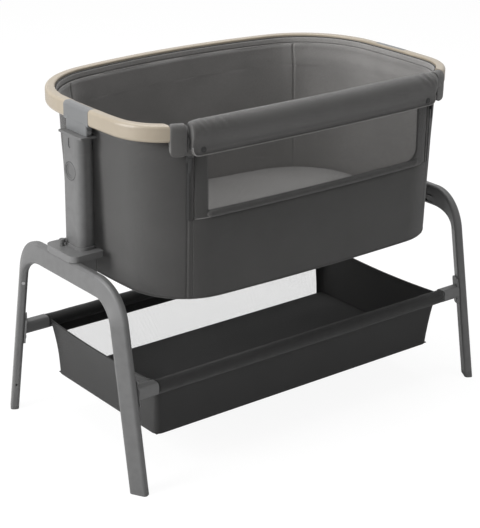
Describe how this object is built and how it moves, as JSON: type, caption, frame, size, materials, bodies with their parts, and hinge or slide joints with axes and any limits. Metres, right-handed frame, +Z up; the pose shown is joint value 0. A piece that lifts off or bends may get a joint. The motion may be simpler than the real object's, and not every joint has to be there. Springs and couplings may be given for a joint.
{
  "type": "bedside sleeper crib",
  "caption": "Bedside sleeper crib: a fabric tub with a fold-down mesh side on telescopic posts that slide along two leg frames, with a storage basket below.",
  "frame": {"origin": "on the floor, midway between the posts, under the centre of the overall box", "axes": "+X along the crib to the right, +Y to the back, away from the bed, +Z up; the fold-down side is at -Y"},
  "size_m": [0.9414, 0.5484, 0.724],
  "materials": {
    "frame_tube": "powder-coated grey, fine satin",
    "frame_moulding": "moulded grey, fine satin",
    "foot_moulding": "moulded grey, matt",
    "crossbar_steel": "dark grey paint",
    "fastener_steel": "satin",
    "basket_fabric": "woven polyester, dark grey",
    "basket_net": "pale open mesh",
    "board_fabric": "cloth-covered stiffener",
    "shoe_plastic": "moulded grey",
    "post_plastic": "moulded grey",
    "button_plastic": "moulded grey",
    "post_metal": "anodised",
    "glide_plastic": "low-friction moulding",
    "clip_plastic": "moulded grey, satin",
    "rim_steel": "coated tube",
    "rim_plastic": "beige, fine satin",
    "tub_fabric": "woven melange, dark grey",
    "liner_fabric": "quilted lining, dark grey",
    "tub_board": "hardboard panel",
    "mattress_fabric": "knit cover",
    "rail_fabric": "padded woven melange",
    "side_net": "fine open mesh",
    "zip_plastic": "moulded teeth on tape",
    "zip_metal": "die-cast, dark"
  },
  "bodies": {
    "stand": {"basket_band": "basket_fabric", "basket_board": "board_fabric", "basket_cloth": "basket_fabric", "basket_mesh": "basket_net", "crossbar_front": "crossbar_steel", "crossbar_rear": "crossbar_steel", "elbow_front_left": "frame_moulding", "elbow_front_right": "frame_moulding", "elbow_rear_left": "frame_moulding", "elbow_rear_right": "frame_moulding", "foot_front_left": "foot_moulding", "foot_front_right": "foot_moulding", "foot_rear_left": "foot_moulding", "foot_rear_right": "foot_moulding", "leg_front_left": "frame_tube", "leg_front_right": "frame_tube", "leg_pins": "fastener_steel", "leg_rear_left": "frame_tube", "leg_rear_right": "frame_tube", "socket_front_left": "frame_moulding", "socket_front_right": "frame_moulding", "socket_rear_left": "frame_moulding", "socket_rear_right": "frame_moulding", "socket_screws": "fastener_steel", "top_bar_left": "frame_tube", "top_bar_right": "frame_tube"},
    "carriage": {"collar_left": "post_plastic", "collar_right": "post_plastic", "outer_post_left": "post_plastic", "outer_post_right": "post_plastic", "shoe_left": "shoe_plastic", "shoe_right": "shoe_plastic"},
    "tub": {"clip_screws": "fastener_steel", "corner_sleeve_left": "tub_fabric", "corner_sleeve_right": "tub_fabric", "inner_post_left": "post_metal", "inner_post_right": "post_metal", "post_glide_left": "glide_plastic", "post_glide_right": "glide_plastic", "rim_clip_left": "clip_plastic", "rim_clip_right": "clip_plastic", "rim_core": "rim_steel", "rim_cover": "rim_plastic", "tub_floor": "tub_board", "tub_liner": "liner_fabric", "tub_shell": "tub_fabric", "zip_teeth": "zip_plastic"},
    "mattress": {"mattress": "mattress_fabric"},
    "drop_side": {"side_rail_core": "rim_steel", "side_rail_pad": "rail_fabric", "side_panel": "tub_fabric", "side_mesh": "side_net", "side_snaps": "fastener_steel"},
    "button_left": {"release_button_left": "button_plastic"},
    "knob_left": {"slide_knob_left": "button_plastic"},
    "zip_left": {"zip_slider_left": "zip_metal"},
    "button_right": {"release_button_right": "button_plastic"},
    "knob_right": {"slide_knob_right": "button_plastic"},
    "zip_right": {"zip_slider_right": "zip_metal"}
  },
  "joints": [
    {"name": "carriage_slide", "type": "slide", "parent": "stand", "child": "carriage", "axis": [0, 1, 0], "range_m": [-0.058, 0.024]},
    {"name": "tub_lift", "type": "slide", "parent": "carriage", "child": "tub", "axis": [0, 0, 1], "range_m": [0, 0.108]},
    {"name": "mattress_lift_out", "type": "slide", "parent": "tub", "child": "mattress", "axis": [0, 0, 1], "range_m": [0, 0.23]},
    {"name": "side_fold", "type": "hinge", "parent": "tub", "child": "drop_side", "pos_m": [0, -0.2495, 0.53], "axis": [1, 0, 0], "range_deg": [0, 170]},
    {"name": "button_left_press", "type": "slide", "parent": "carriage", "child": "button_left", "axis": [1, 0, 0], "range_m": [0, 0.004], "stiffness_N_per_m": 600, "springref_m": -0.001},
    {"name": "knob_left_pull", "type": "slide", "parent": "carriage", "child": "knob_left", "axis": [0, 0, 1], "range_m": [0, 0.006], "stiffness_N_per_m": 500, "springref_m": -0.001},
    {"name": "zip_left_run", "type": "slide", "parent": "tub", "child": "zip_left", "axis": [0, 0.0056, -1], "range_m": [0, 0.11]},
    {"name": "button_right_press", "type": "slide", "parent": "carriage", "child": "button_right", "axis": [-1, 0, 0], "range_m": [0, 0.004], "stiffness_N_per_m": 600, "springref_m": -0.001},
    {"name": "knob_right_pull", "type": "slide", "parent": "carriage", "child": "knob_right", "axis": [0, 0, 1], "range_m": [0, 0.006], "stiffness_N_per_m": 500, "springref_m": -0.001},
    {"name": "zip_right_run", "type": "slide", "parent": "tub", "child": "zip_right", "axis": [0, 0.0056, -1], "range_m": [0, 0.11]}
  ]
}
